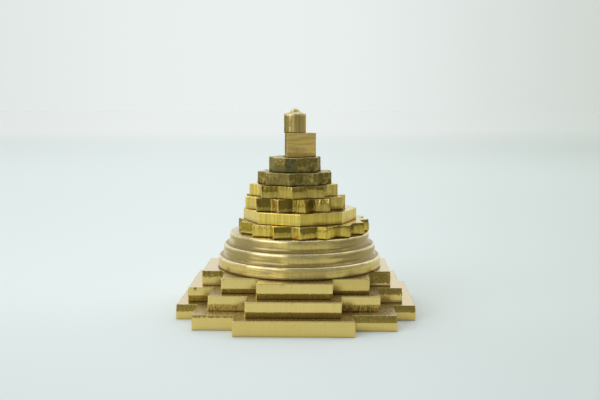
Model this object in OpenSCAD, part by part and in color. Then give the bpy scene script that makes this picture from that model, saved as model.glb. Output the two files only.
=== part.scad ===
// Stepped meru shri yantra: cut brass plates stacked on one tie rod under a turned finial.
// Millimetres, +Z up. The origin is the centre of the underside, and the front faces -Y.
// Plates and tiers turn about the rod. An outline's shift says how far it was set off centre by hand.

/* [Lower square plate] */
// Width across the gates
lower_span = 51; // [47:0.1:60]
// Side of the square body
lower_body = 41.8; // [38:0.1:46]
// Width of each gate
lower_gate = 24.4; // [20:0.1:32]
// Thickness of the plate
lower_t = 3.2; // [2.8:0.1:6]

/* [Middle square plate] */
// Width across the gates
middle_span = 46.2; // [42:0.1:54]
// Side of the square body
middle_body = 35.6; // [33:0.1:40]
// Width of each gate
middle_gate = 19.5; // [14:0.1:28]
// Thickness of the plate
middle_t = 3.2; // [2:0.1:6]
// Shift of the outline to the right
middle_shift = -0.2; // [-1:0.05:1]

/* [Upper square plate] */
// Width across the gates
upper_span = 41; // [36:0.1:46]
// Side of the square body
upper_body = 31; // [28:0.1:35]
// Width of each gate
upper_gate = 15.6; // [10:0.1:24]
// Thickness of the plate
upper_t = 3.2; // [2:0.1:6]

/* [Ring drum] */
// Diameter of the lowest ring
ring_low_d = 36.4; // [35:0.1:42]
// Diameter of the middle ring
ring_mid_d = 33.9; // [32.5:0.1:34.9]
// Diameter of the top ring
ring_top_d = 31.2; // [26:0.1:32.4]
// Height of the lowest ring
ring_low_h = 2.6; // [2:0.1:5]
// Height of the middle ring
ring_mid_h = 2.6; // [1.5:0.1:5]
// Height of the top ring
ring_top_h = 2.6; // [1.5:0.1:5]
// Rounding of each ring's upper edge
ring_edge = 0.35; // [0.1:0.05:0.6]
// Radius of the hollow at the foot of the two upper rings, where their ledge leaves room for it
ring_cove = 0.9; // [0.1:0.05:1]
// Shift of the drum to the right and to the back
drum_shift = [0.55, 0.5];

/* [Sixteen petals] */
// Number of petals
petals_16_n = 16; // [10:1:24]
// Radius at the petal tips
petals_16_tip_r = 14.75; // [13.5:0.05:18]
// Radius at the notches between petals
petals_16_notch_r = 12.9; // [11:0.05:13.4]
// Thickness of the plate
petals_16_t = 2.65; // [1.5:0.05:5]
// Turn of the plate, anticlockwise from above
petals_16_turn = -2; // [-11:0.5:11]
// Place of each notch between its two petals, as a share of their spacing
petals_16_lean = 0.67; // [0.35:0.01:0.7]
// Shift of the outline to the right
petals_16_shift = 1.5; // [-2:0.05:2]

/* [Eight petals] */
// Number of corners
petals_8_n = 8; // [6:1:12]
// Radius at the corners
petals_8_r = 12.65; // [11:0.05:14]
// Thickness of the plate
petals_8_t = 2.55; // [1.5:0.05:5]
// Turn of the plate, anticlockwise from above
petals_8_turn = 1.5; // [-22:0.5:22]
// Shift of the outline to the right
petals_8_shift = 0.7; // [-2:0.05:2]

/* [Fourteen points] */
// Number of points
star_14_n = 14; // [10:1:18]
// Radius at the tips
star_14_tip_r = 11.5; // [10.6:0.05:13]
// Radius at the notches
star_14_notch_r = 9.05; // [8.5:0.05:10.5]
// Thickness of the plate
star_14_t = 2.8; // [1.5:0.05:5]
// Turn of the plate, anticlockwise from above
star_14_turn = 11; // [-13:0.5:13]
// How far the hand-set points crowd towards the back, in degrees
star_14_crowd = 9; // [0:0.5:10]
// Shift of the outline to the right
star_14_shift = -0.35; // [-2:0.05:2]

/* [Outer ten points] */
// Number of points
outer_10_n = 10; // [8:1:14]
// Radius at the tips
outer_10_tip_r = 10; // [9.4:0.05:11.5]
// Radius at the notches
outer_10_notch_r = 8.1; // [7.5:0.05:9.3]
// Thickness of the plate
outer_10_t = 2.65; // [1.5:0.05:5]
// Turn of the plate, anticlockwise from above
outer_10_turn = 0; // [-18:0.5:18]
// How far the hand-set points crowd towards the back, in degrees
outer_10_crowd = 12; // [0:0.5:14]
// Shift of the outline to the right
outer_10_shift = -0.7; // [-2:0.05:2]

/* [Inner ten points] */
// Number of points
inner_10_n = 10; // [8:1:14]
// Radius at the tips
inner_10_tip_r = 8.5; // [7.6:0.05:9.5]
// Radius at the notches
inner_10_notch_r = 7.1; // [6:0.05:7.5]
// Thickness of the plate
inner_10_t = 2.7; // [1.5:0.05:5]
// Turn of the plate, anticlockwise from above
inner_10_turn = -6.5; // [-18:0.5:18]
// How far the hand-set points crowd towards the back, in degrees
inner_10_crowd = 8; // [0:0.5:14]
// Shift of the outline to the right
inner_10_shift = -0.35; // [-2:0.05:2]

/* [Eight points] */
// Number of points
star_8_n = 8; // [6:1:12]
// Radius at the tips
star_8_tip_r = 6; // [5.5:0.05:7.5]
// Radius at the notches
star_8_notch_r = 5.2; // [4.5:0.05:5.4]
// Thickness of the plate
star_8_t = 3.2; // [1.5:0.05:5]
// Turn of the plate, anticlockwise from above
star_8_turn = 3.5; // [-22:0.5:22]
// How far the hand-set points crowd towards the back, in degrees
star_8_crowd = 12; // [0:0.5:14]
// Shift of the outline to the right
star_8_shift = -0.4; // [-1:0.05:1]

/* [Triangle block] */
// Radius at the three corners
triangle_r = 4.65; // [4:0.05:6]
// Height of the block
triangle_h = 5.3; // [3:0.1:8]
// Turn of the front face, anticlockwise from above
triangle_turn = 35.5; // [-60:0.5:60]
// Shift of the outline to the right
triangle_shift = -0.2; // [-0.8:0.05:0.8]

/* [Cut corners] */
// Rounding of the tips of the petals and stars
tip_round = 0.25; // [0.05:0.05:0.4]
// Rounding of the notches that the file left
notch_round = 0.5; // [0.05:0.05:0.8]
// Rounding of the corners of the triangle block
block_round = 0.15; // [0.05:0.05:0.4]

/* [Bindu finial] */
// Diameter of the finial
bindu_d = 4.85; // [4:0.05:6]
// Height of its straight side
bindu_h = 4.15; // [3.5:0.05:8]
// Rise of the cone above the side
cone_h = 0.5; // [0.1:0.05:1.5]
// Diameter of the nub on the cone
nub_d = 2; // [0.8:0.1:3]
// Height of the nub
nub_h = 0.75; // [0.2:0.05:1.2]
// Depth of the threaded hole in the finial
thread_depth = 3; // [1.5:0.1:3.2]

/* [Rod, nut and washer] */
// Diameter of the tie rod
rod_d = 2; // [1.4:0.1:2.4]
// Place of the rod's axis to the right of the base's centre
rod_x = -0.4; // [-1:0.05:1]
// Clearance all round the rod in every bore
rod_clear = 0.05; // [0.02:0.01:0.1]
// Room above the rod in the finial
rod_end_clear = 0.2; // [0.1:0.05:0.5]
// Length of rod below the nut
rod_tail = 0.3; // [0.1:0.05:0.6]
// Width of the nut across its flats
nut_af = 4; // [3.6:0.1:5]
// Thickness of the nut
nut_t = 1.2; // [0.8:0.1:1.3]
// Diameter of the washer
washer_d = 5; // [4:0.1:6]
// Thickness of the washer
washer_t = 0.3; // [0.2:0.05:0.5]
// Room around the nut and washer in their recess
recess_clear = 0.6; // [0.3:0.1:1.5]
// How far the rod's end lies inside the underside
recess_sink = 0.2; // [0.1:0.05:0.5]

/* [Dowel pins] */
// Diameter of the pins
pin_d = 2; // [1.5:0.1:3]
// Distance between the two pins
pin_spacing = 20; // [14:0.5:24]
// Depth of the pins in the lower plate
pin_low_depth = 1.8; // [1:0.1:2.2]
// Depth of the pins in the drum
pin_drum_depth = 2; // [1:0.1:4]
// Clearance all round the pins
pin_clear = 0.05; // [0.02:0.01:0.1]
// Room above the pins in the drum
pin_end_clear = 0.3; // [0.1:0.05:0.5]

/* [Hidden] */
$fn = 96;

// Levels of the undersides, from the floor up
middle_z = lower_t;
upper_z = middle_z + middle_t;
drum_z = upper_z + upper_t;
ring_mid_z = drum_z + ring_low_h;
ring_top_z = ring_mid_z + ring_mid_h;
petals_16_z = ring_top_z + ring_top_h;
petals_8_z = petals_16_z + petals_16_t;
star_14_z = petals_8_z + petals_8_t;
outer_10_z = star_14_z + star_14_t;
inner_10_z = outer_10_z + outer_10_t;
star_8_z = inner_10_z + inner_10_t;
triangle_z = star_8_z + star_8_t;
bindu_z = triangle_z + triangle_h;

// The rod runs from above the floor into the finial
rod_hole_r = rod_d / 2 + rod_clear;
rod_top_z = bindu_z + thread_depth - rod_end_clear;
nut_z = recess_sink + rod_tail;
washer_z = nut_z + nut_t;
recess_h = washer_z + washer_t;
recess_d = max(washer_d, nut_af / cos(30)) + 2 * recess_clear;

// The pins stand on the bottom of their holes in the lower plate
pin_z = lower_t - pin_low_depth;
pin_top_z = drum_z + pin_drum_depth;

front = -90;
cut_over = 1;
arc_steps = 4;
cove_share = 0.9;
brass = [0.74, 0.63, 0.33];
dark_brass = [0.42, 0.36, 0.17];
pale_brass = [0.8, 0.74, 0.5];

function polar(r, a) = [r * cos(a), r * sin(a)];

function unit(v) = v / norm(v);

// Points of an arc that rounds corner p between its neighbours a and b
function round_corner(p, a, b, r) =
    let (
        to_a = unit(a - p),
        to_b = unit(b - p),
        half = acos(to_a * to_b) / 2,
        cut = min(r / tan(half), 0.45 * min(norm(a - p), norm(b - p))),
        centre = p + unit(to_a + to_b) * cut / cos(half),
        from = p + to_a * cut - centre,
        to = p + to_b * cut - centre,
        start = atan2(from[1], from[0]),
        turn = atan2(cross(from, to), from * to)
    )
    [for (k = [0:arc_steps]) centre + polar(norm(from), start + turn * k / arc_steps)];

// Closed outline with each corner rounded by its own radius
function rounded(points, radii) =
    let (n = len(points))
    [for (i = [0:n - 1]) each round_corner(points[i], points[(i + n - 1) % n], points[(i + 1) % n], radii[i])];

// Direction of a hand-set corner: corners crowd together towards the back
function corner_angle(a, crowd) = front + a + crowd * sin(a);

// Star of n tips and n notches, the first tip at the turn from the front
function star_points(n, tip_r, notch_r, turn, crowd = 0, lean = 0.5) =
    rounded(
        [for (i = [0:n - 1]) each [
            polar(tip_r, corner_angle(turn + i * 360 / n, crowd)),
            polar(notch_r, corner_angle(turn + (i + lean) * 360 / n, crowd))
        ]],
        [for (i = [0:n - 1]) each [tip_round, notch_round]]
    );

// Straight-sided plate of n corners
function corner_points(n, r, turn, round_r) =
    rounded([for (i = [0:n - 1]) polar(r, front + turn + i * 360 / n)], [for (i = [0:n - 1]) round_r]);

// Square with a gate standing out of the middle of each side
function gate_points(span, body, gate) =
    [for (k = [0:3], p = [[body, -body], [body, -gate], [span, -gate], [span, gate], [body, gate]])
        [p[0] * cos(90 * k) - p[1] * sin(90 * k), p[0] * sin(90 * k) + p[1] * cos(90 * k)] / 2];

module on_rod(z) {
    translate([rod_x, 0, z]) children();
}

module rod_hole(z, h) {
    on_rod(z - cut_over) cylinder(h = h + 2 * cut_over, r = rod_hole_r);
}

// Both pin holes, from z up by h
module pin_holes(z, h) {
    for (side = [-1, 1])
        translate([side * pin_spacing / 2, 0, z]) cylinder(h = h, r = pin_d / 2 + pin_clear);
}

// One cut plate with the rod's bore
module plate(points, z, t, shift = 0) {
    difference() {
        translate([shift, 0, z]) linear_extrude(t) polygon(points);
        rod_hole(z, t);
    }
}

module lower_square_plate() {
    color(brass) difference() {
        plate(gate_points(lower_span, lower_body, lower_gate), 0, lower_t);
        on_rod(-cut_over) cylinder(h = recess_h + cut_over, d = recess_d);
        pin_holes(pin_z, pin_low_depth + cut_over);
    }
}

module middle_square_plate() {
    color(brass) difference() {
        plate(gate_points(middle_span, middle_body, middle_gate), middle_z, middle_t, middle_shift);
        pin_holes(middle_z - cut_over, middle_t + 2 * cut_over);
    }
}

module upper_square_plate() {
    color(brass) difference() {
        plate(gate_points(upper_span, upper_body, upper_gate), upper_z, upper_t);
        pin_holes(upper_z - cut_over, upper_t + 2 * cut_over);
    }
}

module dowel_pins() {
    color(pale_brass)
        for (side = [-1, 1])
            translate([side * pin_spacing / 2, 0, pin_z]) cylinder(h = pin_top_z - pin_z, d = pin_d);
}

// Half profile of one ring: a hollow foot on the ledge of the ring below, and a rounded upper edge
function ring_profile(r, z, h, ledge_w = 0) =
    let (
        cove = ledge_w > 0 ? min(ring_cove, cove_share * (ledge_w - ring_edge)) : 0,
        foot = ledge_w > 0 ?
            [for (k = [0:2 * arc_steps]) [r + cove, z + cove] - polar(cove, 90 - 45 * k / arc_steps)] : [[r, z]]
    )
    concat(
        foot,
        [for (k = [0:arc_steps]) [r - ring_edge, z + h - ring_edge] + polar(ring_edge, 90 * k / arc_steps)]
    );

module ring_drum() {
    profile = concat(
        [[0, drum_z]],
        ring_profile(ring_low_d / 2, drum_z, ring_low_h),
        ring_profile(ring_mid_d / 2, ring_mid_z, ring_mid_h, (ring_low_d - ring_mid_d) / 2),
        ring_profile(ring_top_d / 2, ring_top_z, ring_top_h, (ring_mid_d - ring_top_d) / 2),
        [[0, petals_16_z]]
    );
    color(pale_brass) difference() {
        translate([drum_shift[0], drum_shift[1], 0]) rotate_extrude() polygon(profile);
        rod_hole(drum_z, petals_16_z - drum_z);
        pin_holes(drum_z - cut_over, pin_drum_depth + pin_end_clear + cut_over);
    }
}

module petal_plate_16() {
    color(brass) plate(
        star_points(petals_16_n, petals_16_tip_r, petals_16_notch_r, petals_16_turn, lean = petals_16_lean),
        petals_16_z, petals_16_t, petals_16_shift
    );
}

module petal_plate_8() {
    color(brass) plate(
        corner_points(petals_8_n, petals_8_r, petals_8_turn, tip_round),
        petals_8_z, petals_8_t, petals_8_shift
    );
}

module star_plate_14() {
    color(brass) plate(
        star_points(star_14_n, star_14_tip_r, star_14_notch_r, star_14_turn, star_14_crowd),
        star_14_z, star_14_t, star_14_shift
    );
}

module star_plate_outer_10() {
    color(brass) plate(
        star_points(outer_10_n, outer_10_tip_r, outer_10_notch_r, outer_10_turn, outer_10_crowd),
        outer_10_z, outer_10_t, outer_10_shift
    );
}

module star_plate_inner_10() {
    color(dark_brass) plate(
        star_points(inner_10_n, inner_10_tip_r, inner_10_notch_r, inner_10_turn, inner_10_crowd),
        inner_10_z, inner_10_t, inner_10_shift
    );
}

module star_plate_8() {
    color(dark_brass) plate(
        star_points(star_8_n, star_8_tip_r, star_8_notch_r, star_8_turn, star_8_crowd),
        star_8_z, star_8_t, star_8_shift
    );
}

module triangle_block() {
    face_to_corner = 60;
    color(brass) plate(
        corner_points(3, triangle_r, triangle_turn + face_to_corner, block_round),
        triangle_z, triangle_h, triangle_shift
    );
}

module bindu_finial() {
    cone_z = bindu_z + bindu_h;
    nub_z = cone_z + cone_h;
    profile = concat(
        [[0, bindu_z], [bindu_d / 2, bindu_z], [bindu_d / 2, cone_z]],
        [for (k = [0:2 * arc_steps - 1])
            let (a = 90 * k / (2 * arc_steps)) [nub_d / 2 * cos(a), nub_z + nub_h * sin(a)]],
        [[0, nub_z + nub_h]]
    );
    color(brass) difference() {
        on_rod(0) rotate_extrude() polygon(profile);
        on_rod(bindu_z - cut_over) cylinder(h = thread_depth + cut_over, r = rod_hole_r);
    }
}

module tie_rod() {
    color(pale_brass) on_rod(recess_sink) cylinder(h = rod_top_z - recess_sink, d = rod_d);
}

module rod_nut() {
    color(pale_brass) difference() {
        on_rod(nut_z) cylinder(h = nut_t, d = nut_af / cos(30), $fn = 6);
        rod_hole(nut_z, nut_t);
    }
}

module rod_washer() {
    color(pale_brass) difference() {
        on_rod(washer_z) cylinder(h = washer_t, d = washer_d);
        rod_hole(washer_z, washer_t);
    }
}

lower_square_plate();
middle_square_plate();
upper_square_plate();
dowel_pins();
ring_drum();
petal_plate_16();
petal_plate_8();
star_plate_14();
star_plate_outer_10();
star_plate_inner_10();
star_plate_8();
triangle_block();
bindu_finial();
tie_rod();
rod_nut();
rod_washer();
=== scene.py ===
import math
import random

import bmesh
import bpy
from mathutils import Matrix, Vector, geometry, noise


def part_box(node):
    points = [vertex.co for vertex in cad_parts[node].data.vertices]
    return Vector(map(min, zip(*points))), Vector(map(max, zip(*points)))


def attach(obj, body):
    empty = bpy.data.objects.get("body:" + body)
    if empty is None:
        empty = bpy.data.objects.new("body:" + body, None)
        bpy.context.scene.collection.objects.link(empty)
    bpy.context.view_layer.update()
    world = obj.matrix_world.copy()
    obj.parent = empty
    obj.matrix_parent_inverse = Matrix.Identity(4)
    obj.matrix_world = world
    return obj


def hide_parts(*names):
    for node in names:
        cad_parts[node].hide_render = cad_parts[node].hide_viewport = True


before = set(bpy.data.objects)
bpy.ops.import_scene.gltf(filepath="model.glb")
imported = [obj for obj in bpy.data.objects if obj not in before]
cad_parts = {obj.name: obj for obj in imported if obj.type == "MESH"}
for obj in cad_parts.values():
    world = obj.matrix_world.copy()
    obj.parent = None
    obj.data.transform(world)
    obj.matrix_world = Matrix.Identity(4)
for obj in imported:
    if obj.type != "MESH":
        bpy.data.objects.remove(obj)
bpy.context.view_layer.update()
scene = bpy.context.scene
scene.view_settings.view_transform = "Standard"
mm = 0.001
print("frame loaded:", len(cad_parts), "solids")


# camera, fitted to the corners of the squares and the tips of the tiers
cameraSet = {
    "place": (4.742, -185.145, 45.919),  # mm
    "target": (0.703, 0.0, 24.236),
    "lens": 50.0,
    "sensor": 36.0,
    "clip": (0.01, 50.0),  # metres
}


def makeCamera(look):
    lens = bpy.data.cameras.new("photoLens")
    lens.lens = look["lens"]
    lens.sensor_fit = "HORIZONTAL"
    lens.sensor_width = look["sensor"]
    lens.clip_start, lens.clip_end = look["clip"]
    camera = bpy.data.objects.new("photoCamera", lens)
    scene.collection.objects.link(camera)
    place = Vector(look["place"]) * mm
    target = Vector(look["target"]) * mm
    camera.location = place
    camera.rotation_euler = (target - place).to_track_quat("-Z", "Y").to_euler()
    scene.camera = camera


makeCamera(cameraSet)
print("camera set")


# a node with its settings and inputs; an input is a value or another node's output
def addNode(tree, kind, settings=None, inputs=None):
    made = tree.nodes.new(kind)
    for key, value in (settings or {}).items():
        setattr(made, key, value)
    for key, value in (inputs or {}).items():
        if isinstance(value, bpy.types.NodeSocket):
            tree.links.new(value, made.inputs[key])
        else:
            made.inputs[key].default_value = value
    return made


def doMath(tree, operation, first, second=0.0, third=0.0):
    inputs = {0: first, 1: second, 2: third}
    return addNode(tree, "ShaderNodeMath", {"operation": operation}, inputs).outputs[0]


def times(tree, first, second):
    return doMath(tree, "MULTIPLY", first, second)


def smoothStep(tree, value, fromLow, fromHigh, toLow=0.0, toHigh=1.0):
    inputs = {"Value": value, "From Min": fromLow, "From Max": fromHigh, "To Min": toLow, "To Max": toHigh}
    return addNode(tree, "ShaderNodeMapRange", {"interpolation_type": "SMOOTHSTEP"}, inputs).outputs[0]


def mixValue(tree, amount, first, second):
    return addNode(tree, "ShaderNodeMix", inputs={0: amount, 2: first, 3: second}).outputs[0]


def mixColour(tree, amount, first, second, blend="MIX"):
    settings = {"data_type": "RGBA", "blend_type": blend}
    return addNode(tree, "ShaderNodeMix", settings, {0: amount, 6: first, 7: second}).outputs[2]


def shadeColour(tree, colour, share):
    return mixColour(tree, 1.0, colour, share, "MULTIPLY")


def splitAxes(tree, vector):
    return addNode(tree, "ShaderNodeSeparateXYZ", inputs={0: vector}).outputs


def rgb(colour):
    return (*colour, 1.0)


white = rgb((1.0, 1.0, 1.0))

# room light: pale behind and above, a dim room in front, brighter on the left
roomSet = {
    "backdrop": (0.822, 0.873, 0.857),  # what the camera sees past the floor
    "tint": (0.97, 1.0, 0.99),
    "left": 0.48,
    "right": 0.32,
    "sideSpan": (-0.55, 0.75),  # a span is from where to where a level changes
    "behind": 0.98,
    "behindSpan": (0.10, 0.55),
    "front": 0.26,
    "frontSpan": (-0.65, -0.90),
    "above": 1.55,
    "aboveFront": 0.24,
    "aboveSpan": (-0.35, 0.25),
    "highSpan": (0.34, 0.76),
}
# painted shade on the table and the wall behind it, so that they are brightest left of the middle
sideShadeSet = {
    "right": (-0.06, 0.52),  # bearing where it starts and where it is full
    "rightColour": (0.700, 0.714, 0.670),
    "left": (-0.12, -0.45),
    "leftColour": (0.92, 0.92, 0.92),
    "fade": (0.02, 0.20),  # none of it behind the camera
    "gain": (0.45, 0.90, 0.64, 1.0),  # and more of it at the back
    "closest": 0.01,  # least distance that a bearing is worked out with
}


# painted shade: share of the pale colour, from the sideways distance over the distance to the back
def sideShadeShare(tree, sideways, back):
    bearing = doMath(tree, "DIVIDE", sideways, doMath(tree, "MAXIMUM", back, sideShadeSet["closest"]))
    share = white
    for side in ("right", "left"):
        amount = smoothStep(tree, bearing, *sideShadeSet[side])
        for limits in ("fade", "gain"):
            amount = times(tree, amount, smoothStep(tree, back, *sideShadeSet[limits]))
        share = shadeColour(tree, share, mixColour(tree, amount, white, rgb(sideShadeSet[side + "Colour"])))
    return share


def makeRoom(look):
    world = bpy.data.worlds.new("room")
    scene.world = world
    world.use_nodes = True
    tree = world.node_tree
    tree.nodes.clear()
    direction = addNode(tree, "ShaderNodeTexCoord").outputs["Generated"]
    toRight, toBack, toTop = splitAxes(tree, direction)
    # level of each direction, from the sides to the front to the top
    level = smoothStep(tree, toRight, *look["sideSpan"], look["left"], look["right"])
    level = mixValue(tree, smoothStep(tree, toBack, *look["behindSpan"]), level, look["behind"])
    level = mixValue(tree, smoothStep(tree, toBack, *look["frontSpan"]), level, look["front"])
    above = smoothStep(tree, toBack, *look["aboveSpan"], look["aboveFront"], look["above"])
    level = mixValue(tree, smoothStep(tree, toTop, *look["highSpan"]), level, above)
    lit = shadeColour(tree, rgb(look["tint"]), level)
    pale = shadeColour(tree, rgb(look["backdrop"]), sideShadeShare(tree, toRight, toBack))
    seen = addNode(tree, "ShaderNodeLightPath").outputs["Is Camera Ray"]
    shown = mixColour(tree, seen, lit, pale)
    ground = addNode(tree, "ShaderNodeBackground", inputs={"Color": shown, "Strength": 1.0})
    addNode(tree, "ShaderNodeOutputWorld", inputs={"Surface": ground.outputs[0]})


# one soft window to the left of the camera
windowSet = {
    "bearing": -48.0,  # degrees from the camera's side towards the left
    "rise": 24.0,
    "distance": 0.75,
    "width": 0.75,
    "height": 0.42,
    "power": 2.3,
    "colour": (0.93, 1.0, 1.12),
}


def makeWindow(look):
    lamp = bpy.data.lights.new("softWindow", "AREA")
    lamp.shape = "RECTANGLE"
    lamp.size = look["width"]
    lamp.size_y = look["height"]
    lamp.energy = look["power"]
    lamp.color = look["colour"]
    window = bpy.data.objects.new("softWindow", lamp)
    scene.collection.objects.link(window)
    bearing = math.radians(look["bearing"])
    rise = math.radians(look["rise"])
    away = Vector((math.sin(bearing) * math.cos(rise), -math.cos(bearing) * math.cos(rise), math.sin(rise)))
    window.location = away * look["distance"]
    window.rotation_euler = away.to_track_quat("Z", "Y").to_euler()


floorSet = {
    "reach": 4.0,
    "colour": (0.850, 0.905, 0.890),
    "rough": 0.9,
    "shine": 0.1,
    "shades": (  # painted light and shade on the table: from where to where along the depth, and the share at both ends
        (-0.10, 0.03, 0.85, 1.0),  # painted shade, a little darker towards the camera
        (0.08, 0.62, 1.0, 1.09),  # and painted light, lighter towards the back
        (-0.30, -0.70, 1.0, 1.22),  # and painted light behind the camera, where the window gives no light
        (0.25, 0.60, 1.0, 0.962),  # painted shade where the table ends at the back
        (0.62, 1.30, 1.0, 1.100),
    ),
    "farTint": (1.020, 0.980, 0.985),
    "farSpan": (0.62, 1.30),
    "eye": 0.19,  # from where the sides are measured
    "dim": (0.30, 0.31, 0.31),  # where the table ends, and the painted shade in front, seen only in the metal
    "ends": (  # direction, and from where to where the table ends that way
        ((0.0, -1.0, 0.0), 0.20, 0.32),
        ((0.75, -0.66, 0.0), 0.13, 0.22),
    ),
    "strip": (0.11, 0.05),  # half width of the shade in front, and where it is full
    "stripFrom": (0.09, 0.16),
}


# where the table has ended, and the painted shade in front, as the metal sees it
def tableEndsAndShade(tree, look, place, axes):
    inStrip = smoothStep(tree, doMath(tree, "ABSOLUTE", axes["X"]), *look["strip"])
    inFront = smoothStep(tree, times(tree, axes["Y"], -1.0), *look["stripFrom"])
    ended = times(tree, inStrip, inFront)
    for way, near, far in look["ends"]:
        along = addNode(tree, "ShaderNodeVectorMath", {"operation": "DOT_PRODUCT"}, {0: place, 1: way})
        ended = doMath(tree, "MAXIMUM", ended, smoothStep(tree, along.outputs["Value"], near, far))
    glossy = addNode(tree, "ShaderNodeLightPath").outputs["Is Glossy Ray"]
    return times(tree, ended, glossy)


def makeFloor(look):
    mesh = bpy.data.meshes.new("floorSheet")
    reach = look["reach"]
    corners = [(-reach, -reach, 0.0), (reach, -reach, 0.0), (reach, reach, 0.0), (-reach, reach, 0.0)]
    mesh.from_pydata(corners, [], [(0, 1, 2, 3)])
    floor = bpy.data.objects.new("floorSheet", mesh)
    scene.collection.objects.link(floor)
    material = bpy.data.materials.new("paleFloor")
    material.use_nodes = True
    tree = material.node_tree
    shader = tree.nodes["Principled BSDF"]
    shader.inputs["Roughness"].default_value = look["rough"]
    shader.inputs["Specular IOR Level"].default_value = look["shine"]
    place = addNode(tree, "ShaderNodeTexCoord").outputs["Object"]
    axes = splitAxes(tree, place)
    cover = rgb(look["colour"])
    for shade in look["shades"]:
        cover = shadeColour(tree, cover, smoothStep(tree, axes["Y"], *shade))
    fromEye = doMath(tree, "ADD", axes["Y"], look["eye"])
    cover = shadeColour(tree, cover, sideShadeShare(tree, axes["X"], fromEye))
    tinted = shadeColour(tree, cover, rgb(look["farTint"]))
    cover = mixColour(tree, smoothStep(tree, axes["Y"], *look["farSpan"]), cover, tinted)
    colour = mixColour(tree, tableEndsAndShade(tree, look, place, axes), cover, rgb(look["dim"]))
    tree.links.new(colour, shader.inputs["Base Color"])
    mesh.materials.append(material)


makeRoom(roomSet)
makeWindow(windowSet)
makeFloor(floorSet)
print("room, window and floor made")


# a node group shared by the brass finishes; it reads a place, its own values and a seed
def startGroup(name, values, outputs):
    group = bpy.data.node_groups.new(name, "ShaderNodeTree")
    group.interface.new_socket(name="Vector", in_out="INPUT", socket_type="NodeSocketVector")
    for label, value in {**values, "Seed": 0.0}.items():
        socket = group.interface.new_socket(name=label, in_out="INPUT", socket_type="NodeSocketFloat")
        socket.default_value = value
    for label in outputs:
        group.interface.new_socket(name=label, in_out="OUTPUT", socket_type="NodeSocketFloat")
    return group, addNode(group, "NodeGroupInput").outputs


def endGroup(group, outputs):
    ends = addNode(group, "NodeGroupOutput")
    for label, value in outputs.items():
        group.links.new(value, ends.inputs[label])
    return group


def seededNoise(group, vector, seed, **values):
    inputs = {"Vector": vector, "W": seed, **values}
    return addNode(group, "ShaderNodeTexNoise", {"noise_dimensions": "4D"}, inputs).outputs["Fac"]


# the place stretched by the group's own values
def stretched(group, ins):
    sizes = {"X": ins["Across"], "Y": ins["Across"], "Z": ins["Upright"]}
    stretch = addNode(group, "ShaderNodeCombineXYZ", inputs=sizes).outputs[0]
    factors = {0: ins["Vector"], 1: stretch}
    return addNode(group, "ShaderNodeVectorMath", {"operation": "MULTIPLY"}, factors).outputs[0]


def readLayer(group, name):
    return addNode(group, "ShaderNodeAttribute", {"attribute_name": name}).outputs["Fac"]


linesSet = {"detail": 2.0, "roughness": 0.6, "mask": (0.44, 0.60)}


# noise drawn out along one direction: saw marks when upright, turning lines when level
def drawnLines(look):
    group, ins = startGroup("drawnLines", {"Across": 2500.0, "Upright": 100.0}, ["Height", "Mask"])
    waves = {"Scale": 1.0, "Detail": look["detail"], "Roughness": look["roughness"]}
    lines = seededNoise(group, stretched(group, ins), ins["Seed"], **waves)
    return endGroup(group, {"Height": lines, "Mask": smoothStep(group, lines, *look["mask"])})


cloudSet = {
    "detail": 5.0,
    "distortion": 0.6,
    "bare": 0.86,  # where a cloud starts with no cover
    "reach": 0.6,  # and how far full cover lowers that
    "softness": 0.16,
    "grainScale": 2600.0,
    "grainDetail": 3.0,
}


# cloudy patches of tarnish
def tarnishCloud(look):
    group, ins = startGroup("tarnishCloud", {"Scale": 300.0, "Cover": 0.5}, ["Mask", "Grain"])
    cloud = {"Scale": ins["Scale"], "Detail": look["detail"], "Distortion": look["distortion"]}
    big = seededNoise(group, ins["Vector"], ins["Seed"], **cloud)
    low = doMath(group, "SUBTRACT", look["bare"], times(group, ins["Cover"], look["reach"]))
    high = doMath(group, "ADD", low, look["softness"])
    speck = {"Scale": look["grainScale"], "Detail": look["grainDetail"]}
    grain = seededNoise(group, ins["Vector"], ins["Seed"], **speck)
    return endGroup(group, {"Mask": smoothStep(group, big, low, high), "Grain": grain})


pitSet = {"clusterScale": 420.0, "clusterDetail": 2.0, "cluster": (0.45, 0.75), "core": 0.5}


# small dark pits, in loose clusters
def pitSpecks(look):
    group, ins = startGroup("pitSpecks", {"Scale": 1500.0, "Cover": 0.3}, ["Mask"])
    cells = {"Vector": ins["Vector"], "W": ins["Seed"], "Scale": ins["Scale"]}
    near = addNode(group, "ShaderNodeTexVoronoi", {"voronoi_dimensions": "4D"}, cells).outputs["Distance"]
    spread = {"Scale": look["clusterScale"], "Detail": look["clusterDetail"]}
    where = seededNoise(group, ins["Vector"], ins["Seed"], **spread)
    size = times(group, smoothStep(group, where, *look["cluster"]), ins["Cover"])
    return endGroup(group, {"Mask": smoothStep(group, near, size, times(group, size, look["core"]))})


wearAndHighlightSet = {"scale": 900.0, "detail": 3.0, "breaks": (0.30, 0.55, 0.25, 1.0)}


# edges painted pale, for rubbed wear and as painted highlight, broken up a little
def rubbedEdgeAndHighlight(look):
    group, ins = startGroup("rubbedEdgeAndHighlight", {}, ["Mask"])
    broken = seededNoise(group, ins["Vector"], ins["Seed"], Scale=look["scale"], Detail=look["detail"])
    mask = times(group, readLayer(group, "edge"), smoothStep(group, broken, *look["breaks"]))
    mask.node.use_clamp = True
    return endGroup(group, {"Mask": mask})


shearSet = {
    "detail": 3.0,
    "roughness": 0.6,
    "sway": 1.7,  # how far streaks reach past the torn band
    "rim": (0.36, 0.64),
    "grainScale": 3400.0,
    "grainDetail": 2.0,
    "flecks": (0.54, 0.66),
}
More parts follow.
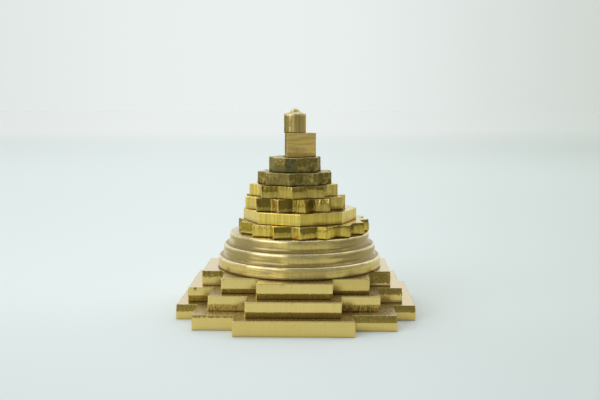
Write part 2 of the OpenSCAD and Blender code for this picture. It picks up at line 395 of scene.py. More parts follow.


# the torn part of a cut edge, with ragged streaks and flecks, and the dirt and painted shade in the seams
def shearBand(look):
    outputs = ["Torn", "Fleck", "Height", "DirtAndShade", "Tone"]
    group, ins = startGroup("shearBand", {"Across": 2600.0, "Upright": 800.0}, outputs)
    waves = {"Scale": 1.0, "Detail": look["detail"], "Roughness": look["roughness"]}
    streaks = seededNoise(group, stretched(group, ins), ins["Seed"], **waves)
    sway = times(group, doMath(group, "SUBTRACT", streaks, 0.5), look["sway"])
    mask = smoothStep(group, doMath(group, "ADD", readLayer(group, "torn"), sway), *look["rim"])
    specks = {"Scale": look["grainScale"], "Detail": look["grainDetail"]}
    grain = seededNoise(group, ins["Vector"], ins["Seed"], **specks)
    return endGroup(group, {
        "Torn": mask,
        "Fleck": times(group, mask, smoothStep(group, grain, *look["flecks"])),
        "Height": times(group, mask, doMath(group, "ADD", streaks, grain)),
        "DirtAndShade": readLayer(group, "dirt"),
        "Tone": readLayer(group, "tone"),
    })


effects = {
    "lines": drawnLines(linesSet),
    "cloud": tarnishCloud(cloudSet),
    "pits": pitSpecks(pitSet),
    "edge": rubbedEdgeAndHighlight(wearAndHighlightSet),
    "shear": shearBand(shearSet),
}
print("finish effects made:", len(effects))


# an effect in a finish; the finish names its values after the mark that it makes
def placeEffect(tree, look, place, effect, mark="", labels=(), shift=0.0):
    inputs = {label: look[mark + label] for label in labels}
    inputs.update(Vector=place, Seed=look["seed"] + shift)
    return addNode(tree, "ShaderNodeGroup", {"node_tree": effects[effect]}, inputs).outputs


# what the brass finishes share; a finish's own values come on top
brassSet = {
    "grazing": (1.0, 1.0, 1.0),
    "drawn": 0.0,
    "drawnTurn": 0.0,
    "toneSaw": 0.0,  # saw marks that a toned face loses, and level lines that it gains
    "toneCloud": 0.0,  # tarnish that it loses
    "lineSeed": 3.0,
    "flat": (0.80, 0.97),  # how far up or down a level face looks
    "dull": (0.640, 0.545, 0.390),
    "dullShade": 0.65,
    "speck": (0.200, 0.155, 0.110),
    "speckShade": 0.30,
    "speckGrain": (0.48, 0.62),
    "speckEnd": 99.0,  # mm from the middle
    "speckRise": 0.0,  # how much closer to the middle the higher squares end
    "speckFade": 1.0,
    "speckLeft": 0.15,
    "dirtShade": 0.85,
    "pitDepth": -0.6,
    "flatCalm": 0.9,  # share of the bumps that level faces lose
    "tarnishRough": 0.10,
    "tornRough": 0.05,
    "dirtRough": 0.25,
    "speckRough": 0.20,
    "grainRough": 0.05,
    "leastRough": 0.12,
}


def brassMarks(tree, look, place):
    stretch = ("Across", "Upright")
    spread = ("Scale", "Cover")
    return {
        "saw": placeEffect(tree, look, place, "lines", "saw", stretch),
        "line": placeEffect(tree, look, place, "lines", "line", stretch, look["lineSeed"]),
        "cloud": placeEffect(tree, look, place, "cloud", "cloud", spread),
        "pits": placeEffect(tree, look, place, "pits", "pit", spread),
        "edge": placeEffect(tree, look, place, "edge"),
        "shear": placeEffect(tree, look, place, "shear", "torn", stretch),
    }


def levelFaces(tree, look):
    normal = addNode(tree, "ShaderNodeNewGeometry").outputs["Normal"]
    upward = splitAxes(tree, normal)["Z"]
    return smoothStep(tree, doMath(tree, "ABSOLUTE", upward), *look["flat"])


# dark specks on level faces, mostly close to the tier above
def levelSpecks(tree, look, place, flat, grain):
    axes = splitAxes(tree, place)
    sideways, deep = [doMath(tree, "ABSOLUTE", axes[name]) for name in ("X", "Y")]
    outward = doMath(tree, "MAXIMUM", sideways, deep)
    outward = doMath(tree, "ADD", outward, times(tree, axes["Z"], look["speckRise"]))
    end = look["speckEnd"]
    inside = smoothStep(tree, outward, end * mm, (end + look["speckFade"]) * mm, 1.0, look["speckLeft"])
    dark = times(tree, flat, smoothStep(tree, grain, *look["speckGrain"]))
    return times(tree, dark, inside)


# how much of each colour lies over those before it
def brassCover(tree, look, marks, flat, specks):
    shear = marks["shear"]
    tone = shear["Tone"]
    kept = 1.0 - look["toneSaw"]
    sawn = times(tree, marks["saw"]["Mask"], smoothStep(tree, tone, 0.0, 1.0, 1.0, kept))
    lined = times(tree, marks["line"]["Mask"], smoothStep(tree, tone, 0.0, 1.0, kept, 1.0))
    cloudShade = look["cloudShade"]
    clouded = smoothStep(tree, tone, 0.0, 1.0, cloudShade, cloudShade * (1 - look["toneCloud"]))
    seams = times(tree, shear["DirtAndShade"], look["dirtShade"])
    return {
        "deep": times(tree, tone, look["toneShare"]),
        "streak": times(tree, sawn, look["sawShade"]),
        "line": times(tree, lined, look["lineShade"]),
        "tarnish": times(tree, marks["cloud"]["Mask"], clouded),
        "torn": times(tree, shear["Torn"], look["tornShade"]),
        "dull": times(tree, flat, look["dullShade"]),
        "speck": times(tree, specks, look["speckShade"]),
        "fleck": times(tree, shear["Fleck"], look["fleckShade"]),
        # pale: rubbed wear and painted highlight on the edges
        "pale": times(tree, marks["edge"]["Mask"], look["edgeWearAndHighlight"]),
        # dirt and painted shade from the seams and hollows, and dark pits
        "dirt": doMath(tree, "MAXIMUM", seams, marks["pits"]["Mask"]),
    }


def addUp(tree, start, shares):
    total = start
    for amount, share in shares:
        total = doMath(tree, "MULTIPLY_ADD", amount, share, total)
    return total


# one brass finish, from its own dictionary
def makeBrass(name, own):
    look = {**brassSet, "streak": own["deep"], "line": own["pale"], **own}
    material = bpy.data.materials.new(name)
    material.use_nodes = True
    tree = material.node_tree
    shader = tree.nodes["Principled BSDF"]
    shader.inputs["Metallic"].default_value = 1.0
    shader.inputs["Specular Tint"].default_value = rgb(look["grazing"])
    shader.inputs["Anisotropic"].default_value = look["drawn"]
    shader.inputs["Anisotropic Rotation"].default_value = look["drawnTurn"]
    place = addNode(tree, "ShaderNodeTexCoord").outputs["Object"]
    marks = brassMarks(tree, look, place)
    grain = marks["cloud"]["Grain"]
    flat = levelFaces(tree, look)
    specks = levelSpecks(tree, look, place, flat, grain)
    cover = brassCover(tree, look, marks, flat, specks)

    colour = rgb(look["brass"])
    for layer, amount in cover.items():
        colour = mixColour(tree, amount, colour, rgb(look[layer]))
    tree.links.new(colour, shader.inputs["Base Color"])

    # level faces are rolled sheet, with a roughness of their own
    rough = addUp(tree, look["rough"], (
        (cover["tarnish"], look["tarnishRough"]),
        (cover["torn"], look["tornRough"]),
        (cover["dirt"], look["dirtRough"]),
        (flat, look["flatRough"]),
        (specks, look["speckRough"]),
        (grain, look["grainRough"]),
    ))
    tree.links.new(doMath(tree, "MAXIMUM", rough, look["leastRough"]), shader.inputs["Roughness"])

    height = addUp(tree, 0.0, (
        (marks["saw"]["Height"], look["sawDepth"]),
        (marks["line"]["Height"], look["lineDepth"]),
        (marks["shear"]["Height"], look["tornDepth"]),
        (marks["pits"]["Mask"], look["pitDepth"]),
        (grain, look["grainDepth"]),
    ))
    calm = doMath(tree, "SUBTRACT", 1.0, times(tree, flat, look["flatCalm"]))
    bumps = {"Height": times(tree, height, calm), "Strength": 1.0, "Distance": look["bump"] * mm}
    bump = addNode(tree, "ShaderNodeBump", inputs=bumps)
    tree.links.new(bump.outputs[0], shader.inputs["Normal"])
    return material


# saw marks take the deep colour and level lines the pale one, unless a finish has its own
squareBrass = {
    "seed": 1.0,
    "brass": (0.850, 0.645, 0.222), "deep": (0.640, 0.460, 0.105), "pale": (0.900, 0.770, 0.420),
    "tarnish": (0.470, 0.360, 0.130), "torn": (0.360, 0.252, 0.050), "fleck": (0.760, 0.590, 0.210),
    "dirt": (0.050, 0.034, 0.010), "rough": 0.22, "flatRough": 0.02, "bump": 0.05,
    "toneShare": 0.45, "edgeWearAndHighlight": 0.25, "speckShade": 0.55, "speckEnd": 23.2, "speckRise": 0.77,
    "sawAcross": 2600.0, "sawUpright": 60.0, "sawShade": 0.16, "sawDepth": 0.15,
    "lineAcross": 60.0, "lineUpright": 4200.0, "lineShade": 0.08, "lineDepth": 0.10,
    "cloudScale": 260.0, "cloudCover": 0.40, "cloudShade": 0.25, "pitScale": 1500.0, "pitCover": 0.12,
    "tornAcross": 3600.0, "tornUpright": 1300.0, "tornShade": 0.97, "tornDepth": 0.35,
    "fleckShade": 0.55, "grainDepth": 0.04,
}
drumBrass = {
    "seed": 7.0,
    "brass": (0.790, 0.595, 0.190), "deep": (0.520, 0.390, 0.140), "pale": (0.880, 0.780, 0.480),
    # the torn colour paints the drum's stains and painted shade
    "tarnish": (0.440, 0.350, 0.170), "torn": (0.395, 0.292, 0.105), "fleck": (0.700, 0.550, 0.240),
    "dirt": (0.050, 0.035, 0.012), "rough": 0.27, "flatRough": -0.05, "bump": 0.05,
    "streak": (0.480, 0.350, 0.120), "line": (0.430, 0.310, 0.100), "drawn": 0.60, "drawnTurn": 0.25,
    # the drum's edges are painted pale, a painted highlight as well as rubbed wear
    "toneShare": 0.0, "edgeWearAndHighlight": 0.85,
    "sawAcross": 1700.0, "sawUpright": 500.0, "sawShade": 0.28, "sawDepth": 0.20,
    "lineAcross": 60.0, "lineUpright": 1900.0, "lineShade": 0.34, "lineDepth": 0.30,
    "cloudScale": 210.0, "cloudCover": 0.50, "cloudShade": 0.50, "pitScale": 1300.0, "pitCover": 0.16,
    "tornAcross": 160.0, "tornUpright": 2400.0, "tornShade": 0.95, "tornDepth": 0.10,
    "fleckShade": 0.30, "grainDepth": 0.12,
}
petalBrass = {
    "seed": 13.0,
    "brass": (0.875, 0.640, 0.118), "deep": (0.400, 0.290, 0.045), "pale": (0.900, 0.770, 0.380),
    "tarnish": (0.450, 0.340, 0.085), "torn": (0.270, 0.190, 0.020), "fleck": (0.740, 0.560, 0.140),
    "dirt": (0.035, 0.022, 0.006), "rough": 0.23, "flatRough": -0.06, "bump": 0.06,
    "toneShare": 0.60, "edgeWearAndHighlight": 0.30,
    "sawAcross": 2800.0, "sawUpright": 40.0, "sawShade": 0.42, "sawDepth": 0.55,
    "lineAcross": 120.0, "lineUpright": 4500.0, "lineShade": 0.05, "lineDepth": 0.05,
    "cloudScale": 420.0, "cloudCover": 0.40, "cloudShade": 0.30, "pitScale": 1600.0, "pitCover": 0.12,
    "tornAcross": 3000.0, "tornUpright": 420.0, "tornShade": 0.85, "tornDepth": 0.35,
    "fleckShade": 0.35, "grainDepth": 0.04,
}
starBrass = {
    "seed": 21.0,
    "brass": (0.885, 0.652, 0.155), "deep": (0.360, 0.260, 0.045), "pale": (0.900, 0.770, 0.390),
    "tarnish": (0.400, 0.310, 0.090), "torn": (0.250, 0.172, 0.020), "fleck": (0.720, 0.540, 0.130),
    "dirt": (0.030, 0.020, 0.006), "rough": 0.23, "flatRough": -0.06, "bump": 0.06,
    "toneShare": 0.60, "edgeWearAndHighlight": 0.30,
    "sawAcross": 2500.0, "sawUpright": 50.0, "sawShade": 0.42, "sawDepth": 0.50,
    "lineAcross": 150.0, "lineUpright": 4000.0, "lineShade": 0.05, "lineDepth": 0.05,
    "cloudScale": 480.0, "cloudCover": 0.40, "cloudShade": 0.35, "pitScale": 1700.0, "pitCover": 0.14,
    "tornAcross": 3000.0, "tornUpright": 380.0, "tornShade": 0.88, "tornDepth": 0.35,
    "fleckShade": 0.30, "grainDepth": 0.04,
}
darkStarBrass = {
    "seed": 33.0,
    "brass": (0.660, 0.482, 0.118), "deep": (0.038, 0.038, 0.020), "pale": (0.880, 0.790, 0.420),
    "tarnish": (0.195, 0.155, 0.045), "torn": (0.220, 0.165, 0.038), "fleck": (0.800, 0.620, 0.190),
    "dirt": (0.022, 0.018, 0.008), "rough": 0.25, "flatRough": -0.06, "bump": 0.06,
    "streak": (0.200, 0.155, 0.040), "line": (0.820, 0.720, 0.400), "grazing": (0.74, 0.72, 0.58),
    "toneShare": 1.0, "toneSaw": 0.75, "toneCloud": 0.6, "edgeWearAndHighlight": 0.55,
    "sawAcross": 2200.0, "sawUpright": 60.0, "sawShade": 0.45, "sawDepth": 0.40,
    "lineAcross": 150.0, "lineUpright": 3600.0, "lineShade": 0.02, "lineDepth": 0.05,
    "cloudScale": 1150.0, "cloudCover": 0.78, "cloudShade": 0.92, "pitScale": 1400.0, "pitCover": 0.32,
    "tornAcross": 2200.0, "tornUpright": 900.0, "tornShade": 0.8, "tornDepth": 0.35,
    "fleckShade": 0.60, "grainDepth": 0.06,
}
finialBrass = {
    "seed": 45.0,
    "brass": (0.640, 0.470, 0.160), "deep": (0.980, 0.700, 0.215), "pale": (0.920, 0.850, 0.550),
    # the torn colour also paints the bindu's stains and painted shade
    "tarnish": (0.430, 0.330, 0.120), "torn": (0.240, 0.200, 0.055), "fleck": (0.740, 0.580, 0.230),
    "dirt": (0.040, 0.030, 0.010), "rough": 0.40, "flatRough": 0.25, "bump": 0.05,
    "streak": (0.270, 0.185, 0.045), "line": (0.330, 0.230, 0.065), "grazing": (0.45, 0.40, 0.22),
    "toneShare": 1.0, "toneSaw": 1.0, "edgeWearAndHighlight": 0.55, "speckShade": 0.05,
    "sawAcross": 2200.0, "sawUpright": 70.0, "sawShade": 0.55, "sawDepth": 0.22,
    "lineAcross": 180.0, "lineUpright": 1700.0, "lineShade": 0.30, "lineDepth": 0.15,
    "cloudScale": 520.0, "cloudCover": 0.45, "cloudShade": 0.40, "pitScale": 1500.0, "pitCover": 0.16,
    "tornAcross": 2200.0, "tornUpright": 900.0, "tornShade": 0.8, "tornDepth": 0.35,
    "fleckShade": 0.40, "grainDepth": 0.05,
}
hardwareBrass = {
    "seed": 57.0,
    "brass": (0.700, 0.530, 0.190), "deep": (0.500, 0.370, 0.110), "pale": (0.860, 0.730, 0.410),
    "tarnish": (0.340, 0.260, 0.110), "torn": (0.400, 0.300, 0.100), "fleck": (0.700, 0.550, 0.220),
    "dirt": (0.040, 0.030, 0.012), "rough": 0.34, "flatRough": 0.05, "bump": 0.04,
    "toneShare": 0.0, "edgeWearAndHighlight": 0.30,
    "sawAcross": 1800.0, "sawUpright": 400.0, "sawShade": 0.15, "sawDepth": 0.10,
    "lineAcross": 200.0, "lineUpright": 5000.0, "lineShade": 0.15, "lineDepth": 0.30,
    "cloudScale": 600.0, "cloudCover": 0.55, "cloudShade": 0.5, "pitScale": 1800.0, "pitCover": 0.16,
    "tornAcross": 2600.0, "tornUpright": 900.0, "tornShade": 0.0, "tornDepth": 0.0,
    "fleckShade": 0.0, "grainDepth": 0.08,
}
brass = {
    "square_brass": makeBrass("squareBrass", squareBrass),
    "drum_brass": makeBrass("drumBrass", drumBrass),
    "petal_brass": makeBrass("petalBrass", petalBrass),
    "star_brass": makeBrass("starBrass", starBrass),
    "dark_star_brass": makeBrass("darkStarBrass", darkStarBrass),
    "finial_brass": makeBrass("finialBrass", finialBrass),
    "hardware_brass": makeBrass("hardwareBrass", hardwareBrass),
}
print("brass finishes made:", len(brass))


# how every piece is meshed; lengths in mm
meshSet = {
    "weld": 0.002,
    "level": 0.005,
    "merge": 0.02,  # points of a turned side closer than this are one
    "step": 0.20,  # along a cut edge
    "facet": 0.60,  # an outline's straight run is a facet from this length
    "cornerTurn": 40.0,  # degrees; sharper corners of an outline are rounded
    "cornerShare": 0.4,  # of a side, at most, goes into the rounding
    "cornerSteps": 4,
    "roundSteps": 3,
    "support": 0.05,  # a row close to each rounding keeps the wall flat
    "capRing": 0.08,
    "straight": 0.001,  # radians; a run that bends less needs no limit
    "farAway": 1000.0,
    "foldShare": 0.7,  # of the way to where a corner would fold over
    "easeOff": 0.35,  # how fast an inset may grow away from a corner
    "notchBend": -0.12,  # radians; the outline turns in by more at a notch
    "bandLimits": (0.15, 0.85),  # least and most of the height for a torn band
    "bandLeast": 0.1,  # under this share there is none
    "rimWearAndHighlight": (0.4, 0.6),  # how pale a rounding is painted, for rubbed wear and as painted highlight, at its ends, and more at its middle
    "seamFade": 1.3,
    "hollowFade": 2.0,
    "nickFrom": 0.72,  # only the strongest ruffles are nicks
    "ruffleGain": 1.6,
    "ruffleSeed": (1.7, 0.9),
    "seamBend": -0.5,  # radians; bends of a turned side
    "hollowBend": -0.02,
    "edgeBend": 0.1,
    "hollowRise": (0.25, 0.55),  # slope from where a hollow is darkened with dirt and painted shade, and over how much more
    "sharpAngle": 50.0,
    "stackGap": 0.004,  # each top lies this much lower, so two stacked faces never share a plane
}
wallLayers = ("edge", "torn", "dirt", "tone")  # what the finishes read from a mesh
ruffleShift = {"wave": 0.0, "groove": 5.0, "nick": 9.0, "rag": 13.0}  # keeps them from falling together


def inUnit(value):
    return min(1.0, max(0.0, value))


def levelsOf(nodeName):
    lowest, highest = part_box(nodeName)
    return lowest.z, highest.z


def atLevel(vert, level):
    return abs(vert.co.z - level) < meshSet["level"] * mm


def edgeAtLevel(edge, level):
    return all(atLevel(vert, level) for vert in edge.verts)


# all faces that hang together with one corner
def spreadFrom(corner):
    found = set(corner.link_faces)
    waiting = list(found)
    while waiting:
        for edge in waiting.pop().edges:
            fresh = [face for face in edge.link_faces if face not in found]
            found.update(fresh)
            waiting.extend(fresh)
    return found


# the closed chains of corners that edges make
def chainsOf(edges):
    nextTo = {}
    for edge in edges:
        first, second = edge.verts
        nextTo.setdefault(first, []).append(second)
        nextTo.setdefault(second, []).append(first)
    chains = []
    while nextTo:
        chain = [next(iter(nextTo))]
        while True:
            fresh = [vert for vert in nextTo.pop(chain[-1]) if vert in nextTo]
            if not fresh:
                break
            chain.append(fresh[0])
        chains.append(chain)
    return chains


# the corners of a wall at one level, anticlockwise from its leftmost one
def rimOf(wall, level):
    edges = {edge for face in wall for edge in face.edges if edgeAtLevel(edge, level)}
    points = [vert.co.xy for vert in chainsOf(edges)[0]]
    area = sum(points[i - 1].cross(points[i]) for i in range(len(points)))
    points = points if area > 0 else points[::-1]
    start = points.index(min(points, key=lambda point: (point.x, point.y)))
    return points[start:] + points[:start]


# a solid without its top, underside and outer wall; what is drilled into it stays
def openShell(nodeName):
    shell = bmesh.new()
    shell.from_mesh(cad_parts[nodeName].data)
    bmesh.ops.remove_doubles(shell, verts=shell.verts, dist=meshSet["weld"] * mm)
    low, high = levelsOf(nodeName)
    ends = [face for face in shell.faces if any(all(atLevel(v, z) for v in face.verts) for z in (low, high))]
    bmesh.ops.delete(shell, geom=ends, context="FACES")
    wall = spreadFrom(max(shell.verts, key=lambda vert: vert.co.x))
    rim = rimOf(wall, low)
    points = [vert.co.copy() for vert in {vert for face in wall for vert in face.verts}]
    bmesh.ops.delete(shell, geom=list(wall), context="FACES")
    return shell, rim, points


# the sharp corners of an outline, rounded
def roundCorners(points, radius):
    rounded = []
    steps = meshSet["cornerSteps"]
    for i, point in enumerate(points):
        before = points[i - 1] - point
        after = points[(i + 1) % len(points)] - point
        turn = math.pi - before.angle(after)
        if math.degrees(turn) < meshSet["cornerTurn"]:
            rounded.append(point)
            continue
        room = meshSet["cornerShare"] * min(before.length, after.length)
        reach = min(radius * math.tan(turn / 2), room)
        start = point + before.normalized() * reach
        end = point + after.normalized() * reach
        for share in [k / steps for k in range(steps + 1)]:
            rounded.append(start.lerp(point, share).lerp(point.lerp(end, share), share))
    return rounded


# points along an outline, each with its facet number, or none where it goes round a corner
def divideOutline(points):
    count = len(points)
    longEdge = meshSet["facet"] * mm
    lengths = [(points[(i + 1) % count] - points[i]).length for i in range(count)]
    first = next(i for i in range(count) if lengths[i] > longEdge)
    places = []
    numbers = []
    facet = -1
    for turn in range(count):
        i = (first + turn) % count
        end = (i + 1) % count
        if lengths[i] > longEdge:
            facet += 1
            parts = max(1, round(lengths[i] / (meshSet["step"] * mm)))
            for part in range(parts + 1):
                places.append(points[i].lerp(points[end], part / parts))
                numbers.append(facet)
        elif lengths[end] <= longEdge:
            places.append(points[end])
            numbers.append(None)
    return places, numbers, facet + 1


# the same, with numbers that run on over each corner to the next facet
def walkOutline(points):
    places, numbers, facets = divideOutline(points)
    i = 0
    while i < len(numbers):
        if numbers[i] is None:
            stop = i
            while stop < len(numbers) and numbers[stop] is None:
                stop += 1
            for k in range(i, stop):
                numbers[k] = numbers[i - 1] + (k - i + 1) / (stop - i + 1)
            i = stop
        i += 1
    return places, numbers, facets


# outward direction, the deepest inset that keeps a corner from folding over, and how far the next notch is
def outlineNormals(places):
    count = len(places)
    farAway = meshSet["farAway"] * mm
    normals = []
    limits = []
    hollows = []
    for i in range(count):
        arrive = places[i] - places[i - 1]
        leave = places[(i + 1) % count] - places[i]
        along = (places[(i + 1) % count] - places[i - 1]).normalized()
        normals.append(Vector((along.y, -along.x)))
        bend = math.atan2(arrive.cross(leave), arrive.dot(leave))
        span = (arrive.length + leave.length) / 2
        limits.append(meshSet["foldShare"] * span / bend if bend > meshSet["straight"] else farAway)
        hollows.append(0.0 if bend < meshSet["notchBend"] else farAway)
    # beside a corner the two sides come close too
    for order in (range(-count, count), range(count - 1, -count - 1, -1)):
        last = None
        for i in order:
            if last is not None:
                apart = (places[i] - places[last]).length
                limits[i] = min(limits[i], limits[last] + meshSet["easeOff"] * apart)
                hollows[i] = min(hollows[i], hollows[last] + apart)
            last = i
    return normals, limits, hollows


# how each facet was cut: drawn by chance from the plate's ranges, or as the plate's dictionary says
def cutFacets(look, places, numbers, facets):
    draw = random.Random(look["seed"])
    centre = sum(places, Vector((0.0, 0.0))) / len(places)
    cuts = []
    for facet in range(facets):
        own = [place for place, number in zip(places, numbers) if number == facet]
        side = "fall" if (own[0] - centre).length > (own[-1] - centre).length else "rise"
        cuts.append({
            "torn": draw.uniform(*look[side]["torn"]),
            "strength": 1.0,
            "tone": draw.uniform(*look[side]["tone"]),
            "lean": draw.uniform(-1.0, 1.0) * look["lean"] * mm,
            "rag": look["rag"],
            "rub": 0.0,
            "spot": None,
        })
    for facet, along, height, size in look["spots"]:
        own = [place for place, number in zip(places, numbers) if number == facet]
        cuts[facet]["spot"] = (own[0].lerp(own[-1], along), height, size * mm)
    for facet, own in look["facets"].items():
        cuts[facet].update(zip(("torn", "strength", "tone", "rag", "rub"), own))
    return cuts


# the rows of a wall from the foot up: inset, height and how rubbed the edge is
def wallRows(look, thick, broken, ramp):
    top = look["topRound"] * mm
    foot = look["footRound"] * mm
    support = meshSet["support"] * mm
    steps = meshSet["roundSteps"]
    angles = [k / steps * math.pi / 2 for k in range(steps + 1)]
    rimPale, more = meshSet["rimWearAndHighlight"]
    rows = [(foot * (1 - math.sin(angle)), foot * (1 - math.cos(angle)), 0.0) for angle in angles]
    heights = [foot + support, (foot + broken - ramp) / 2, broken - ramp, broken + ramp]
    heights += [(broken + ramp + thick - top) / 2, thick - top - support]
    rows += [(0.0, height, 0.0) for height in heights]
    for angle in angles:
        height = thick - top + top * math.sin(angle)
        rows.append((top * (1 - math.cos(angle)), height, rimPale + more * math.sin(2 * angle)))
    rows.append((top + meshSet["capRing"] * mm, thick, 0.0))
    return rows


# one upright line of the wall: inset, height and what the finish reads there
def wallColumn(look, thick, cut):
    ramp = look["tornRamp"] * mm
    margin = ramp + 2 * meshSet["support"] * mm
    lowest = look["footRound"] * mm + margin
    highest = thick - look["topRound"] * mm - margin
    broken = min(highest, max(lowest, cut["break"] * thick))
    rows = wallRows(look, thick, broken, ramp)
    column = []
    for row, (inset, height, edge) in enumerate(rows):
        inset += cut["topTilt"] * max(0.0, height - broken) + cut["footTilt"] * max(0.0, broken - height)
        inset += max(0.0, cut["lean"]) * height / thick + max(0.0, -cut["lean"]) * (1 - height / thick)
        share = inUnit((height - broken + ramp) / (2 * ramp))
        # darker at the foot of the wall and in the notches: dirt and painted shade
        seam = max(0.0, 1 - height / (look["dirtRise"] * mm))
        marks = {
            # a facet painted pale over the orange glow that it reflects is pale all the way up
            "edge": max(edge, cut["rub"]),
            "torn": cut["topTorn"] * share + cut["footTorn"] * (1 - share),
            "dirt": max(seam ** meshSet["seamFade"], cut["hollow"] ** meshSet["hollowFade"]),
            "tone": cut["tone"],
        }
        if row in (0, len(rows) - 1):
            marks.update(torn=0.0, dirt=0.0)  # the level faces start here
        column.append((inset, height, marks))
    return column


# a facet's cut, or the blend of two on the corner between them
def blendCut(look, cuts, number):
    first = int(number)
    share = number - first
    tilt = math.tan(math.radians(look["tornTilt"]))
    least, most = meshSet["bandLimits"]
    blended = {}
    for weight, cut in ((1 - share, cuts[first % len(cuts)]), (share, cuts[(first + 1) % len(cuts)])):
        size = min(most, max(least, abs(cut["torn"])))
        torn = 0.0 if abs(cut["torn"]) < meshSet["bandLeast"] else cut["torn"]
        parts = {
            "break": 1 - size if torn >= 0 else size,
            "topTorn": cut["strength"] if torn > 0 else 0.0,
            "footTorn": cut["strength"] if torn < 0 else 0.0,
            "topTilt": tilt if torn > 0 else 0.0,
            "footTilt": tilt if torn < 0 else 0.0,
            "tone": cut["tone"],
            "lean": cut["lean"],
            "rag": cut["rag"],
            "rub": cut["rub"],
        }
        for key, value in parts.items():
            blended[key] = blended.get(key, 0.0) + weight * value
    return blended


# unevenness from 0 to 1, at the size that the piece gives for this kind
def ruffle(look, kind, point):
    shift = ruffleShift[kind]
    across, deep = meshSet["ruffleSeed"]
    place = Vector(point) / (look[kind + "Size"] * mm)
    place += Vector((look["seed"] * across + shift, look["seed"] * deep, shift))
    return 0.5 + 0.5 * max(-1.0, min(1.0, noise.noise(place) * meshSet["ruffleGain"]))


def nickAt(look, point):
    start = meshSet["nickFrom"]
    return max(0.0, ruffle(look, "nick", point) - start) / (1 - start)


# closes the open end of a shell at one level, around what is drilled there
def capLevel(shell, level):
    edges = [edge for edge in shell.edges if len(edge.link_faces) < 2 and edgeAtLevel(edge, level)]
    chains = chainsOf(edges)
    chains.sort(key=lambda chain: max(vert.co.x for vert in chain))
    verts = [vert for chain in chains for vert in chain]
    number = {vert: i for i, vert in enumerate(verts)}
    pairs = [(number[edge.verts[0]], number[edge.verts[1]]) for edge in edges]
    insideOnly = 1
    samePoint = 1e-9
    filled = geometry.delaunay_2d_cdt([vert.co.xy for vert in verts], pairs, [], insideOnly, samePoint)
    triangles, sources = filled[2:4]
    drilled = [set(chain) for chain in chains[:-1]]
    for triangle in triangles:
        corners = [verts[sources[corner][0]] for corner in triangle]
        if not any(hole.issuperset(corners) for hole in drilled):
            shell.faces.new(corners)


def joinRings(shell, rings):
    for lower, upper in zip(rings, rings[1:]):
        for i in range(len(lower)):
            shell.faces.new((lower[i - 1], lower[i], upper[i], upper[i - 1]))


def lowerTop(shell, level):
    for vert in shell.verts:
        if atLevel(vert, level):
            vert.co.z -= meshSet["stackGap"] * mm


def settle(shell, look):
    bmesh.ops.recalc_face_normals(shell, faces=shell.faces)
    mesh = bpy.data.meshes.new(look["name"])
    shell.to_mesh(mesh)
    shell.free()
    mesh.shade_smooth()
    mesh.set_sharp_from_angle(angle=math.radians(meshSet["sharpAngle"]))
    piece = bpy.data.objects.new(look["name"], mesh)
    scene.collection.objects.link(piece)
    mesh.materials.append(brass[look["slot"]])
    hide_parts(look["node"])
    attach(piece, look["body"])
    print("made", look["name"], len(mesh.vertices), "points")


# a plate cut from sheet: its outline and drilled holes come from the solid, its edges are worked by hand
def makePlate(own):
    look = {**plateSet, **own}
    shell, rim, _ = openShell(look["node"])
    low, high = levelsOf(look["node"])
    thick = high - low
    layers = {name: shell.verts.layers.float.new(name) for name in wallLayers}
    places, numbers, facets = walkOutline(roundCorners(rim, look["cornerRound"] * mm))
    normals, limits, hollows = outlineNormals(places)
    cuts = cutFacets(look, places, numbers, facets)
    hollowReach, hollowShade = look["hollowDirtAndShade"]
    columns = []
    for place, number, normal, limit, hollow in zip(places, numbers, normals, limits, hollows):
        cut = blendCut(look, cuts, number)
        rag = ruffle(look, "rag", (place.x, place.y, 0.0)) - 0.5
        cut["break"] += cut["rag"] * mm * rag / thick
        cut["hollow"] = hollowShade * max(0.0, 1 - hollow / (hollowReach * mm))
        spot = cuts[int(number) % facets]["spot"]
        column = []
        for inset, height, marks in wallColumn(look, thick, cut):
            level = low + height
            point = (place.x, place.y, level)
            upright = (place.x, place.y, level * look["grooveDrift"])
            inset += look["wave"] * mm * ruffle(look, "wave", point)
            inset += look["groove"] * mm * ruffle(look, "groove", upright)
            inset += look["nick"] * mm * nickAt(look, point) * max(0.0, marks["edge"] - cut["rub"])
            inset = min(inset, limit)
            vert = shell.verts.new((place.x - normal.x * inset, place.y - normal.y * inset, level))
            if spot and math.hypot((place - spot[0]).length, height - spot[1] * thick) < spot[2]:
                marks["dirt"] = 1.0
            for name, value in marks.items():
                vert[layers[name]] = value
            column.append(vert)
        columns.append(column)
    joinRings(shell, list(zip(*columns)))
    capLevel(shell, low)
    capLevel(shell, high)
    lowerTop(shell, high)
    settle(shell, look)


# how plates are cut, unless one says otherwise; sizes in mm
plateSet = {
    "cornerRound": 0.25,
    "topRound": 0.08,
    "footRound": 0.18,
    "lean": 0.05,  # how far a facet is out of square
    "tornTilt": 8.0,  # degrees that the torn band leans in
    "tornRamp": 0.40,
    "rag": 0.45,  # how ragged the torn band's rim is
    "ragSize": 0.22,
    "wave": 0.04,
    "waveSize": 2.0,
    "groove": 0.03,
    "grooveSize": 0.6,
    "grooveDrift": 0.15,
    "nick": 0.05,
    "nickSize": 0.6,
    "facets": {},
    "spots": (),
}
squareSet = {
    "topRound": 0.12, "footRound": 0.10, "dirtRise": 0.20, "hollowDirtAndShade": (0.15, 0.5), "lean": 0.02,
    "tornRamp": 0.12, "rag": 0.06, "wave": 0.03, "waveSize": 5.0,
    "grooveSize": 0.9, "grooveDrift": 0.1, "nick": 0.02, "nickSize": 0.7,
}
